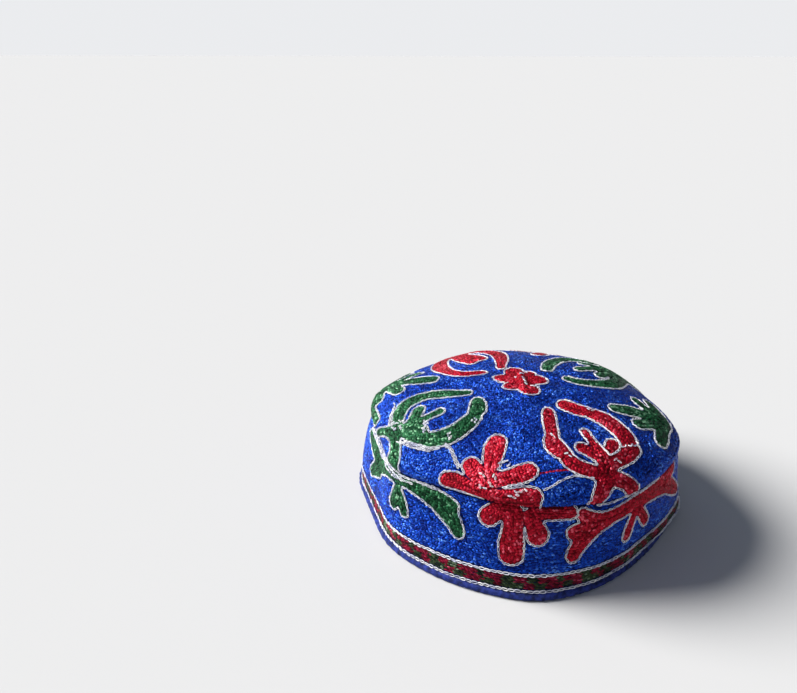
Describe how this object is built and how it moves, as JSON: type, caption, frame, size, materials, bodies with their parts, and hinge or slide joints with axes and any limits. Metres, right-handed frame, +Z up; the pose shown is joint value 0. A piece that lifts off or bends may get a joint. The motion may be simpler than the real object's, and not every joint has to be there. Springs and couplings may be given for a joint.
{
  "type": "tubeteika skullcap",
  "caption": "Soft round embroidered skullcap with a domed crown, an upright side band and a bound rim, lying rim down.",
  "frame": {"origin": "middle of the cap's footprint on the surface that its rim lies on", "axes": "+Z up through the crown, -Y towards the front of the cap, +X to its right side as the viewer sees it"},
  "size_m": [0.1876, 0.183, 0.0748],
  "materials": {
    "crown_cloth": "dense chain stitch embroidery in glossy rayon thread, cobalt blue ground with red, green and white motifs",
    "band_cloth": "dense chain stitch embroidery in glossy rayon thread, cobalt blue ground with red, green and white motifs",
    "binding_cloth": "plain smooth satin cloth, muted purple blue"
  },
  "bodies": {
    "root": {"crown": "crown_cloth", "side_band": "band_cloth", "hem_binding": "binding_cloth"}
  },
  "joints": []
}
